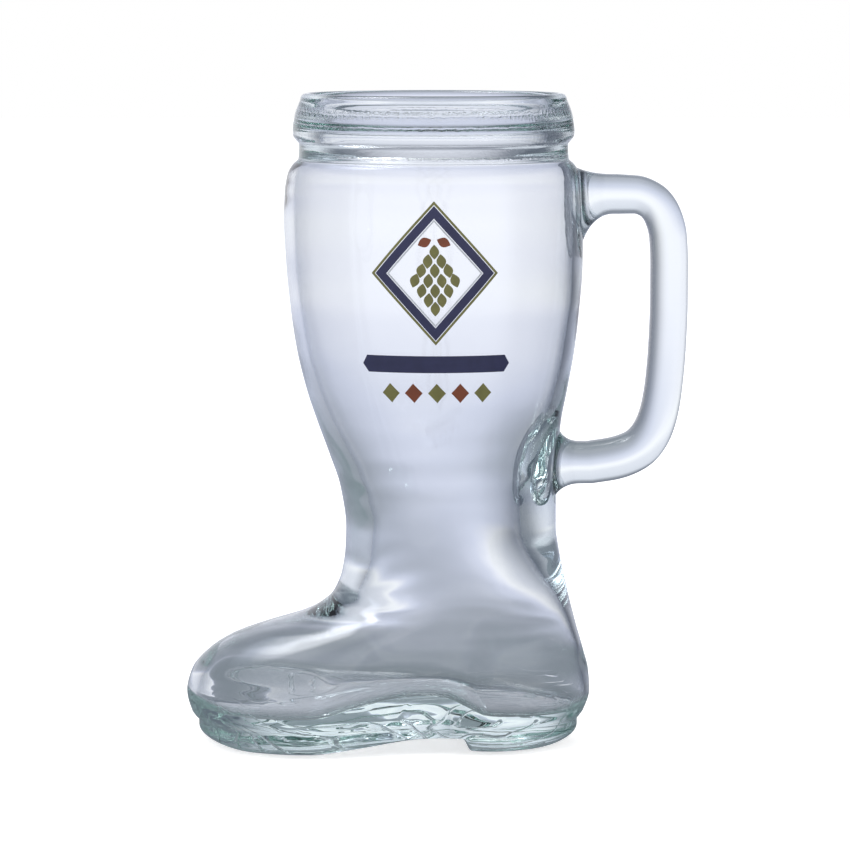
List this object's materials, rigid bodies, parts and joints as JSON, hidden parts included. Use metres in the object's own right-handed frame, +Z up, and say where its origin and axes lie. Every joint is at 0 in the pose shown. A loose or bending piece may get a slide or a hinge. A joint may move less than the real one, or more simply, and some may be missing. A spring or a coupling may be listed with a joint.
{
  "type": "beer boot glass",
  "caption": "Hollow boot-shaped beer glass with a thick collar, a solid side handle and a printed emblem on the leg.",
  "frame": {"origin": "on the plane that the sole and the heel stand on, midway between the tip of the toe and the back of the handle, on the mirror plane", "axes": "+Z up through the mouth, -X towards the toe, +X towards the handle, -Y towards the printed side"},
  "size_m": [0.1518, 0.0904, 0.197],
  "materials": {
    "vessel_glass": "clear pressed soda-lime glass with a faint cool tint",
    "handle_glass": "clear fire-polished soda-lime glass",
    "enamel_navy": "fired opaque enamel, satin",
    "enamel_gold": "fired opaque enamel, satin",
    "enamel_rust": "fired opaque enamel, satin",
    "enamel_silver": "fired opaque enamel, satin"
  },
  "bodies": {
    "root": {"vessel": "vessel_glass", "handle": "handle_glass", "print_navy": "enamel_navy", "print_gold": "enamel_gold", "print_rust": "enamel_rust", "print_silver": "enamel_silver"}
  },
  "joints": []
}
